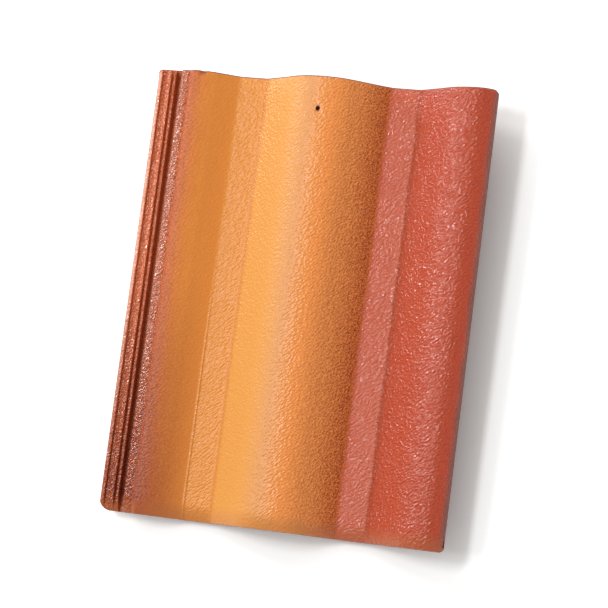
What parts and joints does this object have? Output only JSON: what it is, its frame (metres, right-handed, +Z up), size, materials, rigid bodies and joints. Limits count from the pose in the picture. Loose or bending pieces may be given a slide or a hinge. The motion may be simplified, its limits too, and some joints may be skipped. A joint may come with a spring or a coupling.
{
  "type": "clay roof tile",
  "caption": "Wave-profile interlocking roof tile with a ribbed side lock, a rounded cover edge, a nail hole on the full roll and hanging nibs underneath.",
  "frame": {"origin": "bottom centre of the tile's bounding box, on the floor it lies on", "axes": "+X from the side lock towards the cover edge, +Y from the foot towards the head, +Z up"},
  "size_m": [0.33, 0.4208, 0.056],
  "materials": {
    "coated_tile": "satin sprayed coat that fades from brick red at the side lock through orange to pinkish red at the cover edge, over a fine-grained body"
  },
  "bodies": {
    "root": {"roof_tile": "coated_tile"}
  },
  "joints": []
}
